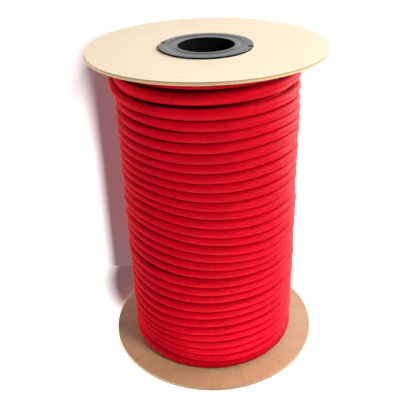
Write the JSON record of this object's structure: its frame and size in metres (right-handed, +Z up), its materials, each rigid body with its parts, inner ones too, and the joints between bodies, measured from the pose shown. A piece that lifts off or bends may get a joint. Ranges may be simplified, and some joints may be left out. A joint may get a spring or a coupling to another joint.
{
  "type": "reel of bungee cord",
  "caption": "Tall reel of round bungee cord: thin round flange boards on a cardboard tube, a plastic hub insert pressed into each end, and a full winding of braid-covered elastic cord.",
  "frame": {"origin": "middle of the base, where the reel's axis meets the plane that it stands on", "axes": "+Z up along the reel's axis; -Y towards the viewer of the picture; +X to the viewer's right"},
  "size_m": [0.2, 0.2, 0.2902],
  "materials": {
    "board": "bare thin fibreboard, sawn edge",
    "tube": "bare spiral-wound board",
    "hub": "black moulded plastic with a soft sheen",
    "cord": "fine red braided cover over rubber"
  },
  "bodies": {
    "root": {"top_flange": "board", "bottom_flange": "board", "core_tube": "tube", "top_hub_insert": "hub", "bottom_hub_insert": "hub", "cord_inner_layers": "cord", "cord_outer_layer": "cord"}
  },
  "joints": []
}
